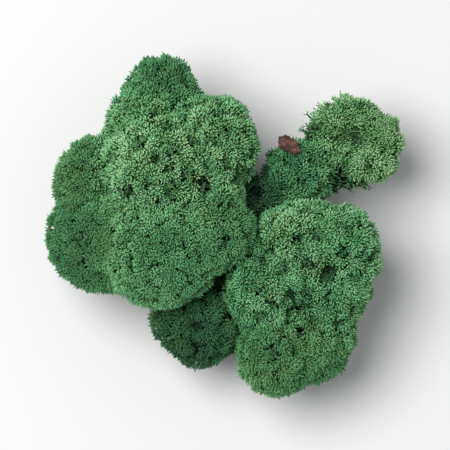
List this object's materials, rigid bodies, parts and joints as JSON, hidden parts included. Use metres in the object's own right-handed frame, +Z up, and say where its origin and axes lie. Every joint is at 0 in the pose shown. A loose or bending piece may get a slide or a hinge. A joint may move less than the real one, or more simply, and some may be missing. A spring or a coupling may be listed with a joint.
{
  "type": "reindeer moss clump",
  "caption": "Cushion of dyed green reindeer moss: forked stalks fan out from a narrow foot and end in rounded lacy heads of star-shaped tips.",
  "frame": {"origin": "on the flat cut end of the middle stalk, at the height of the surface that the clump rests on", "axes": "+Z up through the middle stalk, away from the resting surface; +X to the right and +Y to the top as the clump is seen from straight above"},
  "size_m": [0.0769, 0.0728, 0.0466],
  "materials": {
    "moss": "matte",
    "bark": "matte"
  },
  "bodies": {
    "root": {"podetium_01": "moss", "podetium_02": "moss", "podetium_03": "moss", "podetium_04": "moss", "podetium_05": "moss", "podetium_06": "moss", "podetium_07": "moss", "podetium_08": "moss", "podetium_09": "moss", "podetium_10": "moss", "podetium_11": "moss", "podetium_12": "moss", "podetium_13": "moss", "podetium_14": "moss", "podetium_15": "moss", "podetium_16": "moss", "podetium_17": "moss", "podetium_18": "moss", "podetium_19": "moss", "bark_flake": "bark"}
  },
  "joints": []
}
